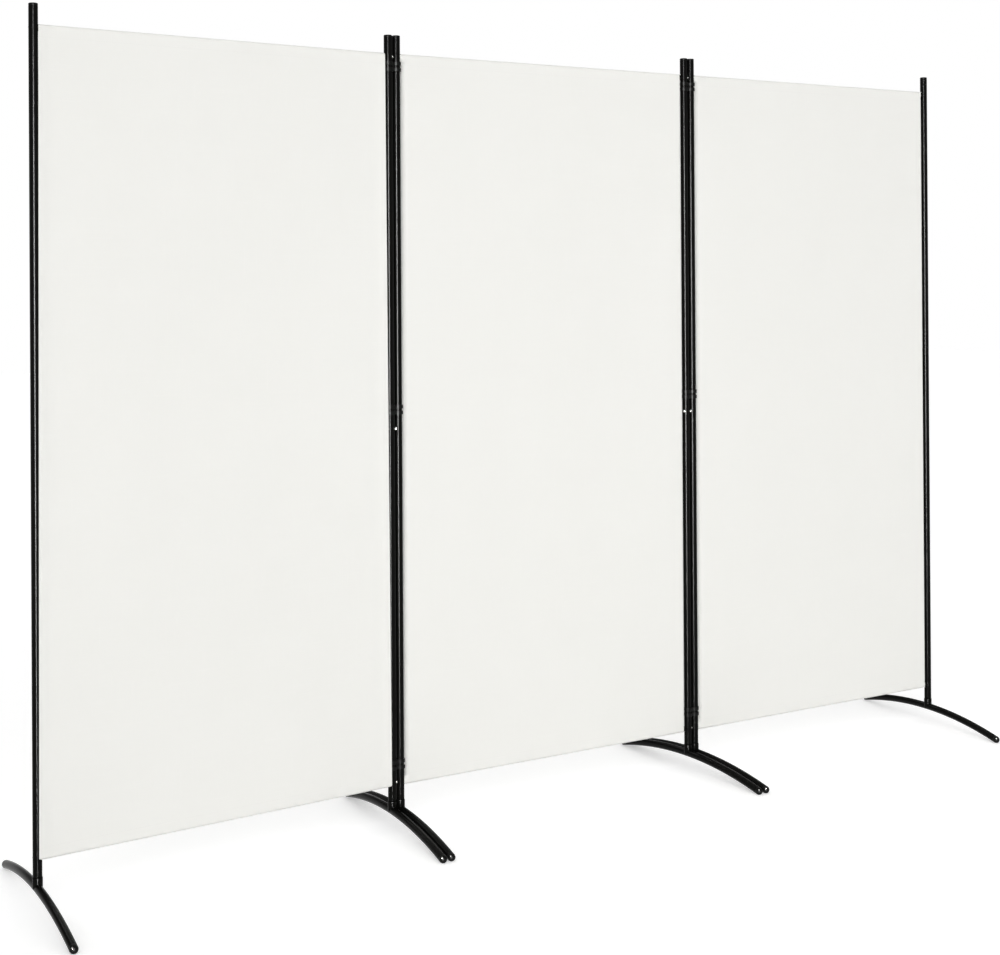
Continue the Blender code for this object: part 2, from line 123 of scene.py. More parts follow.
# Cloth
FABRIC_TOP = 1.770
FABRIC_BOTTOM = 0.094
FABRIC_EDGE = 0.0122          # from the post's axis
CLOTH = 0.00025
LOOP_RADIUS = 0.0072          # of the pocket's middle surface round a bar
HEM_DEPTH = 0.025             # of the pockets
FLAP = 0.006                  # turned cloth below a pocket's seam
FLAP_SHARES = (1, 2 / 3, 1 / 3)
SIDE_HEM = 0.007
HEM_SHARES = (1, 0.75, 0.5, 0.25)
HEM_FOLD = ((0.0001, 1.0), (-0.00005, 0.5))    # inward from the cloth's edge, and layers behind the front
SIDE_STITCH = 0.0052          # from the cloth's edge
SEAM_STITCH = 0.0015          # from a pocket's seam
SLOPE_REACH = 0.0001
LAYER = CLOTH + 0.00001       # between two layers that lie on each other
FLAP_SET = 3 * LAYER          # of the turned flap behind the front, with both side hems between them
LOOP_STEPS = 18
SLOPE_STEPS = 4
MIDDLE_ROWS = 110
MIDDLE_COLUMNS = 60
FINE_COLUMNS = (
    0.0004, 0.0012, 0.0024, 0.0038, 0.0052, 0.0066, 0.0080, 0.0100, 0.0130, 0.0180, 0.0260, 0.0380,
)
CLOTH_SHARP_ABOVE = 60
CURL_WIDTH = 0.030
STITCH_LENGTH = 0.0027
STITCH_PITCH = 0.0034
STITCH_RADIUS = 0.0002
STITCH_SIDES = 6
STITCH_RINGS = ((-0.5, 0.0), (-0.28, 1.0), (0.28, 1.0), (0.5, 0.0))    # shares of its length and radius

# Where the sheets lie, in front of the bars
FRONT_PLANE = -0.0072
FRONT_FROM_SHARE = 0.5        # of that depth, where the sheet counts as its front
FRONT_FADE_SHARE = 0.4
BACK_CURL_WIDTH = 0.012       # of panels 2 and 3, whose sides turn back between their posts
BACK_CURL_DEPTH = 0.0085
BACK_CURL_POWER = 2.5         # the higher, the rounder
POCKET_CLEAR = 0.0195         # of the pockets' ends that reach further than the sides, clear of the clips
POCKET_EASE = 0.004
POCKET_LEFT = 0.0070          # of their front, from the post's axis
POCKET_RIGHT = 0.0190
SEAM_DIP = 0.00028
SEAM_DIP_WIDTH = 0.0012
WAVE_MARGIN = 0.020           # along a sheet's sides, without waves
WAVE_FADE = 0.12
WAVE_FADE_UP = 0.22
PANEL_PHASE = 1.7

# Waves of the stretched cloth: depth, radians a metre across, up and up again, and step to the next panel
WAVES = (
    (0.0011, 9.5, 1.1, 1.9, 1.0),
    (0.0005, 23.0, -1.6, 2.7, 2.3),
    (0.00016, 52.0, 2.2, 0.0, 3.1),
)

# Panel 1's cloth laps over the front of its posts. Distances are from the post's axis to the cloth's edge
FRONT_CURL = -0.0099
LEFT_LAP_TOP = 0.0069
LEFT_LAP_BOTTOM = 0.0
RIGHT_LAP_TOP = 0.0144
RIGHT_LAP_BOTTOM = 0.0070

# Clips
CLIP_PLACES = {"top": 1.739, "middle": 0.95396, "bottom": 0.144}
CLIP_BORE = 0.00985
CLIP_RADIUS = 0.01145
CLIP_BAND = 0.0083
CLIP_SLOT = 0.0054
CLIP_MOUTH = 27.0
CLIP_WEB_LENGTH = 0.007
CLIP_WEB_WIDTH = 0.013
CLIP_EDGE = 0.0005
CLIP_OUTER_STEPS = 16
CLIP_BORE_STEPS = 48

# Feet
FOOT_RADIUS = 0.009
FOOT_WALL = 0.0013
FOOT_REACH = 0.2755
FOOT_RISE = 0.0315
FOOT_CAP_SKIRT = 0.006
FOOT_CAP_PLUG = 0.014
ARCH_END_HEIGHT = 0.0082
ARCH_MIDDLE_HEIGHT = ARCH_END_HEIGHT + FOOT_RISE
ARCH_BEND = (FOOT_REACH ** 2 + FOOT_RISE ** 2) / (2 * FOOT_RISE)
ARCH_ANGLE = math.asin(FOOT_REACH / ARCH_BEND)
COLLAR_RADIUS = 0.0105
COLLAR_TOP = 0.0627
COLLAR_ROUNDING = 0.0025
SPIGOT_LENGTH = 0.060
SPIGOT_BORE = 0.0055
BEAD_RADIUS = 0.0011
BEAD_SPREAD = 52.0            # degrees to each side of the arch
BEAD_STEPS = 12
BEAD_UNEVENNESS = 0.16
BEAD_TURN = 2                 # radians of the unevenness a step
BEAD_BEVEL_STEPS = 2
RIVET_RADIUS = 0.0017
RIVET_PROUD = 0.0008
RIVET_TILT = 60.0             # up from the arch's end
RIVET_TURN = 38.0             # round the arch's end, to the left of each foot's front

# Sides of the round shapes
POST_SIDES = 64
SMALL_SIDES = 32
ARCH_STEPS = 48
DOME_STEPS = 8
CORNER_STEPS = 4

# Finishes: scales of the noise a metre, ranges of it that a mark covers, and relief heights
NOISE_ROUGHNESS = 0.5
PEEL_SCALE = 900
PEEL_RELIEF = 0.00002
PATCH_SCALE = 14
PATCH_RANGE = (0.3, 0.8)
RUBBED_RANGE = (0.52, 0.78)
SCRATCH_SCALES = (600, 600, 18)
SCRATCH_RANGE = (0.68, 0.80)
PAINT_IOR = 1.33
GRAIN_SCALE = 2200
GRAIN_RELIEF = 0.00002
FLOW_SCALE = 60
DULL_RANGE = (0.3, 0.75)
PLASTIC_IOR = 1.40
BRUSH_SCALES = (3500, 3500, 500)
BRUSH_RELIEF = 0.00002
SPOT_SCALE = 700
YARN_SCALE = 700
YARN_DISTORTION = 0.4
YARN_TONES = (1.1, 0.7)       # shares of the shade colour in the gaps and on the yarns; the darker gaps are painted shade
YARN_ROUGHNESS = (0.92, 0.74)
SLUB_SCALES_UP = (900, 60, 9)
SLUB_SCALES_ACROSS = (9, 60, 900)
SLUB_RANGE = (0.60, 0.85)
CLOUD_SCALE = 5
CLOTH_SPECULAR = 0.05
CLOTH_SHEEN = 0.12
CLOTH_SHEEN_ROUGHNESS = 0.5
WEAVE_RELIEF = 0.00012
TWIST_SCALE = 2600
TWIST_DISTORTION = 0.2
TWIST_ROUGHNESS = (0.55, 0.75)
TWIST_RELIEF = 0.00004
BAND_DETAIL = 1.0
BAND_DETAIL_SCALE = 0.6

# Camera, fitted to the photograph
CAMERA_PLACE = (-2.46814, -3.52156, 1.25683)
CAMERA_YAW = -0.5798
CAMERA_PITCH = 0.00396
CAMERA_ROLL = -0.00618
CAMERA_LENS = 64.142
CAMERA_SENSOR = 36.0
CAMERA_SHIFT = -0.20796

# Stage and lights
FLOOR_SIZE = 40.0
FLOOR_SEGMENTS = 8
FLOOR_DROP = 0.0003
WHITE = (1, 1, 1, 1)
FLOOR_TONE = 0.80
FLOOR_GLOW = 0.40
AMBIENT_LEVEL = 0.635
AMBIENT_OVERHEAD = 0.33
REFLECTED_OVERHEAD = 0.14
OVERHEAD_FROM = 0.03          # shares of straight up between which reflections fade
OVERHEAD_TO = 0.30
KEY_PLACE = (-3.0, -5.2, 4.4)
KEY_TARGET = (0, 0, 0.9)
KEY_ENERGY = 1.23
KEY_ANGLE = 50.0
FILL_PLACE = (3.4, 5.2, 3.6)
FILL_TARGET = (0, 0, 0.9)
FILL_ENERGY = 1.1
FILL_ANGLE = 80.0
BANK_PLACE = (-0.35, -3.6, 1.0)
BANK_TARGET = (-0.30, 0, 1.0)
BANK_SIZE = (3.4, 0.7)
BANK_ENERGY = 25.0
STRIP_PLACE = (-2.75, -4.0, 0.52)
STRIP_TARGET = (0, 0, 0.52)
STRIP_SIZE = (0.45, 3.25)     # it reaches below the floor, where the posts' lower halves mirror it
STRIP_ENERGY = 2200
OVERHEAD_PLACE = (0.3, 3.0, 3.8)
OVERHEAD_TARGET = (0, 0, 0)
OVERHEAD_SIZE = (5.0, 2.4)
OVERHEAD_ENERGY = 100


# Places

def middle(node):
    low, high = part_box(node)
    return (low + high) / 2


AXES = {number: middle(f"post_{number}_top_cap") for number in POST_NUMBERS}


def heading(start, end):
    """The turn about Z of the line from one post to another."""
    across = AXES[end] - AXES[start]
    return math.atan2(across.y, across.x)


def standing(point, turn):
    return Matrix.Translation((point.x, point.y, 0)) @ Matrix.Rotation(turn, 4, "Z")


def post_frame(number):
    left = number - (number + 1) % 2
    return standing(AXES[number], heading(left, left + 1))


def foot_frame(number):
    return standing(AXES[number], math.radians(FOOT_TURNS[number]))


def raised(height):
    return Matrix.Translation((0, 0, height))


# Materials

class Tree:
    """The shader nodes of a material or of the world."""

    def __init__(self, owner):
        owner.use_nodes = True
        self.owner = owner
        self.nodes = owner.node_tree.nodes
        self.links = owner.node_tree.links

    def put(self, socket, value):
        """Sets an input, or links it to an output."""
        if isinstance(value, bpy.types.NodeSocket):
            self.links.new(value, socket)
        else:
            socket.default_value = value

    def node(self, kind, inputs):
        """A new node with these inputs set or linked."""
        made = self.nodes.new(kind)
        for name, value in inputs.items():
            self.put(made.inputs[name], value)
        return made

    def shade(self, inputs):
        """Sets or links inputs of a material's own shader."""
        for name, value in inputs.items():
            self.put(self.nodes["Principled BSDF"].inputs[name], value)

    def coordinates(self):
        return self.nodes.new("ShaderNodeTexCoord").outputs["Object"]

    def stretched(self, place, scales):
        """Coordinates scaled by an amount of its own along each axis."""
        return self.node("ShaderNodeMapping", {"Vector": place, "Scale": scales}).outputs["Vector"]

    def noise(self, place, scale, detail, roughness=NOISE_ROUGHNESS):
        inputs = {"Vector": place, "Scale": scale, "Detail": detail, "Roughness": roughness}
        return self.node("ShaderNodeTexNoise", inputs).outputs["Fac"]

    def bands(self, place, direction, scale, distortion):
        """Waves across one direction of the object."""
        texture = self.node("ShaderNodeTexWave", {
            "Vector": place, "Scale": scale, "Distortion": distortion,
            "Detail": BAND_DETAIL, "Detail Scale": BAND_DETAIL_SCALE,
        })
        texture.wave_type = "BANDS"
        texture.bands_direction = direction
        return texture.outputs["Fac"]

    def mapped(self, value, low, high, out_low, out_high):
        """A value between two limits, spread over two others."""
        return self.node("ShaderNodeMapRange", {
            "Value": value, "From Min": low, "From Max": high, "To Min": out_low, "To Max": out_high,
        }).outputs["Result"]

    def mixed(self, share, first, second):
        """A colour between two, by a share."""
        mix = self.nodes.new("ShaderNodeMix")
        mix.data_type = "RGBA"
        self.put(mix.inputs["Factor"], share)
        for name, colour in (("A", first), ("B", second)):
            self.put(mix.inputs[name], colour if isinstance(colour, bpy.types.NodeSocket) else (*colour, 1))
        return mix.outputs["Result"]

    def arithmetic(self, operation, first, second):
        made = self.node("ShaderNodeMath", {0: first, 1: second})
        made.operation = operation
        return made.outputs["Value"]

    def bump(self, height, distance, strength):
        inputs = {"Height": height, "Distance": distance, "Strength": strength}
        return self.node("ShaderNodeBump", inputs).outputs["Normal"]


def coated_metal(name, dark, worn, roughness, specular):
    """Powder coat with a fine orange peel, faint rubbed patches and a few fine scratches."""
    tree = Tree(bpy.data.materials.new(name))
    place = tree.coordinates()
    peel = tree.noise(place, PEEL_SCALE, detail=2)
    patches = tree.noise(place, PATCH_SCALE, detail=4, roughness=0.6)
    scratches = tree.noise(tree.stretched(place, SCRATCH_SCALES), 1.0, detail=3, roughness=0.7)
    rubbed = tree.mapped(patches, *RUBBED_RANGE, 0, 1)
    scored = tree.mapped(scratches, *SCRATCH_RANGE, 0, 1)
    wear = tree.arithmetic("MULTIPLY", rubbed, scored)
    tree.shade({
        "Base Color": tree.mixed(wear, dark, worn),
        "Roughness": tree.mapped(patches, *PATCH_RANGE, *roughness),
        "IOR": PAINT_IOR,
        "Specular IOR Level": specular,
        "Normal": tree.bump(tree.arithmetic("SUBTRACT", peel, wear), PEEL_RELIEF, strength=0.2),
    })
    return tree.owner


def moulded_plastic(name, dark, light, roughness, specular):
    """Black plastic with a spark-eroded grain and slight flow marks."""
    tree = Tree(bpy.data.materials.new(name))
    place = tree.coordinates()
    grain = tree.noise(place, GRAIN_SCALE, detail=1)
    flow = tree.noise(place, FLOW_SCALE, detail=3, roughness=0.6)
    tree.shade({
        "Base Color": tree.mixed(flow, dark, light),
        "Roughness": tree.mapped(flow, *DULL_RANGE, *roughness),
        "IOR": PLASTIC_IOR,
        "Specular IOR Level": specular,
        "Normal": tree.bump(grain, GRAIN_RELIEF, strength=0.4),
    })
    return tree.owner


def plated_steel(name, bright, dull, roughness):
    """Zinc plate with a brushed grain and dull spots."""
    tree = Tree(bpy.data.materials.new(name))
    place = tree.coordinates()
    brushed = tree.noise(tree.stretched(place, BRUSH_SCALES), 1.0, detail=2)
    spots = tree.noise(place, SPOT_SCALE, detail=3, roughness=0.6)
    tree.shade({
        "Base Color": tree.mixed(spots, bright, dull),
        "Roughness": tree.mapped(spots, *DULL_RANGE, *roughness),
        "Metallic": 1.0,
        "Normal": tree.bump(brushed, BRUSH_RELIEF, strength=0.3),
    })
    return tree.owner


def woven_polyester(name, light, shade, slub_tone):
    """Plain-woven cloth: crossing yarns with painted shade in the gaps between them, a cloudy random tone,
    thicker yarns here and there, and a soft sheen.
    """
    tree = Tree(bpy.data.materials.new(name))
    place = tree.coordinates()
    warp = tree.bands(place, "X", YARN_SCALE, YARN_DISTORTION)
    weft = tree.bands(place, "Z", YARN_SCALE, YARN_DISTORTION)
    weave = tree.arithmetic("MULTIPLY", warp, weft)
    slubs_up = tree.noise(tree.stretched(place, SLUB_SCALES_UP), 1.0, detail=2, roughness=0.6)
    slubs_across = tree.noise(tree.stretched(place, SLUB_SCALES_ACROSS), 1.0, detail=2, roughness=0.6)
    slubs = tree.arithmetic("MAXIMUM", slubs_up, slubs_across)
    cloudy = tree.noise(place, CLOUD_SCALE, detail=3)
    # The gaps between the yarns take more of the shade colour: painted shade, over a cloudy tone that
    # varies at random.
    yarns = tree.arithmetic("MULTIPLY", cloudy, tree.mapped(weave, 0, 1, *YARN_TONES))
    toned = tree.mixed(tree.mapped(slubs, *SLUB_RANGE, 0, 1), tree.mixed(yarns, light, shade), slub_tone)
    tree.shade({
        "Base Color": toned,
        "Roughness": tree.mapped(weave, 0, 1, *YARN_ROUGHNESS),
        "Specular IOR Level": CLOTH_SPECULAR,
        "Sheen Weight": CLOTH_SHEEN,
        "Sheen Roughness": CLOTH_SHEEN_ROUGHNESS,
        "Normal": tree.bump(tree.arithmetic("ADD", weave, slubs), WEAVE_RELIEF, strength=0.35),
    })
    return tree.owner


def twisted_thread(name, light, shade):
    """Polyester sewing thread, twisted, its twist painted in bands of light and shade."""
    tree = Tree(bpy.data.materials.new(name))
    # Bands along the twist mix a light and a shade colour: painted light and shade on the plies.
    twist = tree.bands(tree.coordinates(), "DIAGONAL", TWIST_SCALE, TWIST_DISTORTION)
    tree.shade({
        "Base Color": tree.mixed(twist, light, shade),
        "Roughness": tree.mapped(twist, 0, 1, *TWIST_ROUGHNESS),
        "Normal": tree.bump(twist, TWIST_RELIEF, strength=0.4),
    })
    return tree.owner


PAINT = coated_metal(
    "painted_tube", dark=(0.0032, 0.0032, 0.0028), worn=(0.020, 0.020, 0.018),
    roughness=(0.19, 0.27), specular=0.08,
)
PLASTIC = moulded_plastic(
    "moulded_black", dark=(0.0036, 0.0037, 0.0035), light=(0.0060, 0.0061, 0.0056),
    roughness=(0.30, 0.42), specular=0.11,
)
ZINC = plated_steel(
    "zinc_plate", bright=(0.80, 0.80, 0.78), dull=(0.62, 0.62, 0.60), roughness=(0.20, 0.34),
)
CLOTH_FINISH = woven_polyester(
    "white_cloth", light=(0.861, 0.858, 0.826), shade=(0.841, 0.838, 0.804),
    slub_tone=(0.878, 0.874, 0.844),
)
THREAD = twisted_thread("white_thread", light=(0.80, 0.80, 0.77), shade=(0.72, 0.72, 0.69))


# Meshes

def linked(name, data):
    """An object of this data in the scene."""
    made = bpy.data.objects.new(name, data)
    bpy.context.scene.collection.objects.link(made)
    return made


def evaluated(holder):
    """The mesh of an object with its modifiers or its bevel. The object is removed."""
    bpy.context.view_layer.update()
    mesh = bpy.data.meshes.new_from_object(holder.evaluated_get(bpy.context.evaluated_depsgraph_get()))
    bpy.data.objects.remove(holder)
    return mesh


def mesh_from(shape, name):
    mesh = bpy.data.meshes.new(name)
    bmesh.ops.recalc_face_normals(shape, faces=shape.faces)
    shape.to_mesh(mesh)
    shape.free()
    return mesh


def turned(name, profile, sides, ring=False):
    """A profile of (radius, height) points turned round Z. A ring's profile closes on itself."""
    shape = bmesh.new()
    points = [shape.verts.new((radius, 0, height)) for radius, height in profile]
    ends = points[1:] + points[:1] if ring else points[1:]
    for start, end in zip(points, ends):
        shape.edges.new((start, end))
    bmesh.ops.spin(
        shape, geom=shape.verts[:] + shape.edges[:], cent=(0, 0, 0), axis=(0, 0, 1),
        angle=math.tau, steps=sides, use_merge=True,
    )
    bmesh.ops.remove_doubles(shape, verts=shape.verts, dist=WELD)
    return mesh_from(shape, name)


def rod(name, radius, low, high, sides):
    return turned(name, [(0, low), (radius, low), (radius, high), (0, high)], sides)


def block(name, size, place):
    """A box of this size, centred on a place."""
    shape = bmesh.new()
    bmesh.ops.create_cube(shape, size=1.0)
    mesh = mesh_from(shape, name)
    mesh.transform(place @ Matrix.Diagonal((*size, 1)))
    return mesh


def arc(radius, start, end, steps):
    """Points of an arc round the origin, from one angle to another in degrees."""
    angles = [math.radians(start + (end - start) * step / steps) for step in range(steps + 1)]
    return [(radius * math.cos(angle), radius * math.sin(angle)) for angle in angles]


def rounded_corner(radius, height, rounding):
    """Profile points of a rounded outer corner, from the side to the top."""
    return [
        (radius - rounding + x, height - rounding + z)
        for x, z in arc(rounding, 0, 90, CORNER_STEPS)
    ]


def moved(mesh, matrix):
    copy = mesh.copy()
    copy.transform(matrix)
    return copy


def combined(name, base, *steps):
    """The base mesh after each (operation, mesh) Boolean step, as one mesh."""
    body = linked(name, base)
    helpers = []
    for operation, mesh in steps:
        helper = linked(f"{name}_{operation.lower()}", mesh)
        modifier = body.modifiers.new(operation.title(), "BOOLEAN")
        modifier.operation = operation
        modifier.solver = "EXACT"
        modifier.object = helper
        helpers.append(helper)
    result = evaluated(body)
    for helper in helpers:
        bpy.data.objects.remove(helper)
    result.name = name
    shape = bmesh.new()
    shape.from_mesh(result)
    bmesh.ops.remove_doubles(shape, verts=shape.verts, dist=SLIVER)
    bmesh.ops.dissolve_degenerate(shape, edges=shape.edges, dist=SLIVER)
    bmesh.ops.connect_verts_concave(shape, faces=shape.faces)
    shape.to_mesh(result)
    shape.free()
    return result


def swept(name, points, radius, sides):
    """A round rod along a line of points, with flat ends."""
    shape = bmesh.new()
    rings = []
    side = Vector((1, 0, 0))
    for index, point in enumerate(points):
        before = points[max(index - 1, 0)]
        after = points[min(index + 1, len(points) - 1)]
        along = (after - before).normalized()
        up = along.cross(side).normalized()
        across = up.cross(along).normalized()
        rings.append([
            shape.verts.new(point + radius * (math.cos(angle) * across + math.sin(angle) * up))
            for angle in (math.tau * step / sides for step in range(sides))
        ])
    for lower, upper in zip(rings, rings[1:]):
        for step in range(sides):
            following = (step + 1) % sides
            shape.faces.new((lower[step], lower[following], upper[following], upper[step]))
    shape.faces.new(rings[0])
    shape.faces.new(rings[-1])
    return mesh_from(shape, name)


def finished(mesh, finish, sharp_above=SHARP_ABOVE):
    mesh.shade_smooth()
    mesh.set_sharp_from_angle(angle=math.radians(sharp_above))
    mesh.materials.clear()
    mesh.materials.append(finish)
    return mesh


def add(name, mesh, matrix, body, nodes=()):
    """A piece with this mesh, which rides on a body and stands for these nodes."""
    made = linked(name, mesh)
    made.matrix_world = matrix
    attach(made, body)
    if nodes:
        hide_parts(*nodes)
    return made


def body_of(node):
    return frame["nodes"][node]["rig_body"]


def stand_in(node, mesh, matrix):
    """A finer piece in the place of one node."""
    return add(f"{node}_detail", mesh, matrix, body_of(node), [node])


# Posts

def button_azimuth(number):
    return OUTER_BUTTON_AZIMUTH if number in END_POSTS else INNER_BUTTON_AZIMUTH


def button_place(azimuth):
    """Puts +Z along the button's outward direction, at the button's height."""
    outward = Matrix.Rotation(math.radians(90), 4, "X")
    return raised(BUTTON_HEIGHT) @ Matrix.Rotation(math.radians(-azimuth), 4, "Z") @ outward


def button_hole(azimuth):
    hole = rod("hole", BUTTON_RADIUS + GAP, 0, POST_RADIUS + OVERRUN, SMALL_SIDES)
    return moved(hole, button_place(azimuth))


def stub_mesh(height, side):
    stub = rod("stub", STUB_RADIUS, 0, POST_RADIUS + STUB_LENGTH, SMALL_SIDES)
    return moved(stub, raised(height) @ Matrix.Rotation(math.radians(90 * side), 4, "Y"))


def upper_tube(azimuth, side):
    neck_low = SEAM_HEIGHT - NECK_LENGTH
    shoulder = SEAM_HEIGHT + GAP
    outside = turned("upper_tube", [
        (0, neck_low), (NECK_RADIUS - EDGE, neck_low), (NECK_RADIUS, neck_low + NECK_TAPER),
        (NECK_RADIUS, shoulder), (POST_RADIUS - EDGE, shoulder), (POST_RADIUS, shoulder + EDGE),
        (POST_RADIUS, TUBE_TOP - EDGE), (POST_RADIUS - EDGE, TUBE_TOP), (0, TUBE_TOP),
    ], POST_SIDES)
    bore = turned("upper_bore", [
        (0, neck_low - OVERRUN), (NECK_BORE, neck_low - OVERRUN), (NECK_BORE, shoulder + NECK_TAPER),
        (POST_BORE, shoulder + 2 * NECK_TAPER), (POST_BORE, TUBE_TOP + OVERRUN), (0, TUBE_TOP + OVERRUN),
    ], POST_SIDES)
    return combined(
        "upper_tube", outside, ("UNION", stub_mesh(TOP_BAR_HEIGHT, side)),
        ("DIFFERENCE", bore), ("DIFFERENCE", button_hole(azimuth)),
    )


def lower_tube(azimuth, side):
    bottom = COLLAR_TOP + GAP
    outside = turned("lower_tube", [
        (0, bottom), (POST_RADIUS - EDGE, bottom), (POST_RADIUS, bottom + EDGE),
        (POST_RADIUS, SEAM_HEIGHT - EDGE), (POST_RADIUS - EDGE, SEAM_HEIGHT), (0, SEAM_HEIGHT),
    ], POST_SIDES)
    bore = rod("lower_bore", POST_BORE, bottom - OVERRUN, SEAM_HEIGHT + OVERRUN, POST_SIDES)
    return combined(
        "lower_tube", outside, ("UNION", stub_mesh(BOTTOM_BAR_HEIGHT, side)),
        ("DIFFERENCE", bore), ("DIFFERENCE", button_hole(azimuth)),
    )


def cap():
    plug_radius = POST_BORE - GAP
    head_low = TUBE_TOP + GAP
    plug_low = head_low - CAP_PLUG
    return turned("top_cap", [
        (0, plug_low), (plug_radius - EDGE, plug_low), (plug_radius, plug_low + EDGE),
        (plug_radius, head_low), (POST_RADIUS - EDGE, head_low), (POST_RADIUS, head_low + EDGE),
        *rounded_corner(POST_RADIUS, TOTAL_HEIGHT, CAP_ROUNDING), (0, TOTAL_HEIGHT),
    ], POST_SIDES)


def button():
    """The pin with its base, and the leaf that springs it out."""
    seat = math.sqrt(NECK_BORE ** 2 - BUTTON_BASE_RADIUS ** 2) - GAP
    tip = POST_RADIUS + BUTTON_PROUD
    pin = turned("button", [
        (0, seat - BUTTON_BASE), (BUTTON_BASE_RADIUS, seat - BUTTON_BASE), (BUTTON_BASE_RADIUS, seat),
        (BUTTON_RADIUS, seat), *rounded_corner(BUTTON_RADIUS, tip, BUTTON_DOME), (0, tip),
    ], SMALL_SIDES)
    centre = (0, (BUTTON_BASE_RADIUS - LEAF_LENGTH) / 2, seat - BUTTON_BASE)
    size = (LEAF_WIDTH, LEAF_LENGTH + BUTTON_BASE_RADIUS, LEAF_THICKNESS)
    leaf = block("leaf", size, Matrix.Translation(centre))
    return combined("snap_button", pin, ("UNION", leaf))


def screw_head():
    """A low domed head with a cross recess, its face towards +Z."""
    dome = turned("screw_head", [
        (0, -GAP), (SCREW_RADIUS, -GAP), *rounded_corner(SCREW_RADIUS, SCREW_PROUD, SCREW_ROUNDING),
        (0, SCREW_PROUD),
    ], SMALL_SIDES)
    size = (SCREW_SLOT_LENGTH, SCREW_SLOT, SCREW_PROUD)
    slots = [
        block("slot", size, Matrix.Rotation(math.radians(turn), 4, "Z") @ raised(SCREW_PROUD))
        for turn in (0, 90)
    ]
    return combined("screw_head", dome, *[("DIFFERENCE", slot) for slot in slots])


def add_posts():
    top = finished(cap(), PLASTIC)
    pin = finished(button(), ZINC)
    plated_screw = finished(screw_head(), ZINC)
    painted_screw = finished(screw_head(), PAINT)
    tubes = {}
    for number in AXES:
        place = post_frame(number)
        azimuth = button_azimuth(number)
        side = 1 if number % 2 else -1
        if (azimuth, side) not in tubes:
            tubes[azimuth, side] = (
                finished(upper_tube(azimuth, side), PAINT), finished(lower_tube(azimuth, side), PAINT),
            )
        upper, lower = tubes[azimuth, side]
        stand_in(f"post_{number}_upper_tube", upper, place)
        stand_in(f"post_{number}_lower_tube", lower, place)
        stand_in(f"post_{number}_top_cap", top, place)
        stand_in(f"post_{number}_snap_button", pin, place @ button_place(azimuth))
        screw, sunk = (painted_screw, SCREW_SUNK) if number in END_POSTS else (plated_screw, 0)
        for level, height in (("top", TOP_BAR_HEIGHT), ("bottom", BOTTOM_BAR_HEIGHT)):
            outward = Matrix.Rotation(math.radians(-90 * side), 4, "Y")
            head = place @ raised(height) @ outward @ raised(POST_RADIUS - sunk)
            add(f"post_{number}_{level}_bar_screw", screw, head, body_of(f"post_{number}_upper_tube"))


def add_bars():
    length = (AXES[2] - AXES[1]).to_2d().length - 2 * BAR_END
    bore = BAR_RADIUS - BAR_WALL
    tube = turned("bar", [
        (bore, 0), (BAR_RADIUS - EDGE, 0), (BAR_RADIUS, EDGE),
        (BAR_RADIUS, length - EDGE), (BAR_RADIUS - EDGE, length), (bore, length),
    ], SMALL_SIDES, ring=True)
    lying = Matrix.Translation((BAR_END, 0, 0)) @ Matrix.Rotation(math.radians(90), 4, "Y")
    bar = finished(moved(tube, lying), PAINT)
    for panel in PANEL_NUMBERS:
        place = post_frame(2 * panel - 1)
        stand_in(f"panel_{panel}_top_bar", bar, place @ raised(TOP_BAR_HEIGHT))
        stand_in(f"panel_{panel}_bottom_bar", bar, place @ raised(BOTTOM_BAR_HEIGHT))


# Clips

def clip_outline():
    """Two open rings back to back, one round the post at the origin and one round the post at -X."""
    web = 180 - math.degrees(math.asin(CLIP_WEB_WIDTH / 2 / CLIP_RADIUS))
    right = [
        *arc(CLIP_RADIUS, -web, -CLIP_MOUTH, CLIP_OUTER_STEPS),
        *arc(CLIP_BORE, -CLIP_MOUTH, CLIP_MOUTH - 360, CLIP_BORE_STEPS),
        *arc(CLIP_RADIUS, CLIP_MOUTH, web, CLIP_OUTER_STEPS),
    ]
    left = [(-HINGE_PITCH - x, y) for x, y in reversed(right)]
    return right + left


def inset(outline, distance):
    """The outline drawn in by a distance, for an outline that runs anticlockwise."""
    drawn = []
    count = len(outline)
    for index, point in enumerate(outline):
        here = Vector(point)
        before = (here - Vector(outline[index - 1])).normalized()
        after = (Vector(outline[(index + 1) % count]) - here).normalized()
        along = (before + after).normalized()
        drawn.append(here + distance * Vector((-along.y, along.x)))
    return drawn


def plate(name, outline, low, high, edge):
    """An outline drawn up along Z, with broken edges at the bottom and the top."""
    shape = bmesh.new()
    narrow = inset(outline, edge)
    levels = ((narrow, low), (outline, low + edge), (outline, high - edge), (narrow, high))
    rings = [[shape.verts.new((x, y, height)) for x, y in points] for points, height in levels]
    shape.faces.new(reversed(rings[0]))
    shape.faces.new(rings[-1])
    for lower, upper in zip(rings, rings[1:]):
        for index in range(len(outline)):
            before = index - 1
            shape.faces.new((lower[before], lower[index], upper[index], upper[before]))
    return mesh_from(shape, name)


def clip():
    """Two slotted bands round both posts, with a core between them that is cut out for the posts."""
    half = CLIP_SLOT / 2 + CLIP_BAND
    outline = clip_outline()
    upper = plate("clip", outline, CLIP_SLOT / 2, half, CLIP_EDGE)
    lower = plate("clip_lower", outline, -half, -CLIP_SLOT / 2, CLIP_EDGE)
    x = CLIP_WEB_LENGTH / 2
    y = CLIP_WEB_WIDTH / 2 - CLIP_EDGE
    corners = [(x, -y), (x, y), (-x, y), (-x, -y)]
    bridge = [(cx - HINGE_PITCH / 2, cy) for cx, cy in corners]
    core = plate("clip_core", bridge, -CLIP_BAND, CLIP_BAND, CLIP_EDGE)
    near = rod("post_bore", CLIP_BORE, -half, half, POST_SIDES)
    far = moved(near, Matrix.Translation((-HINGE_PITCH, 0, 0)))
    core = combined("core", core, ("DIFFERENCE", near), ("DIFFERENCE", far))
    return combined("clip", upper, ("UNION", lower), ("UNION", core))


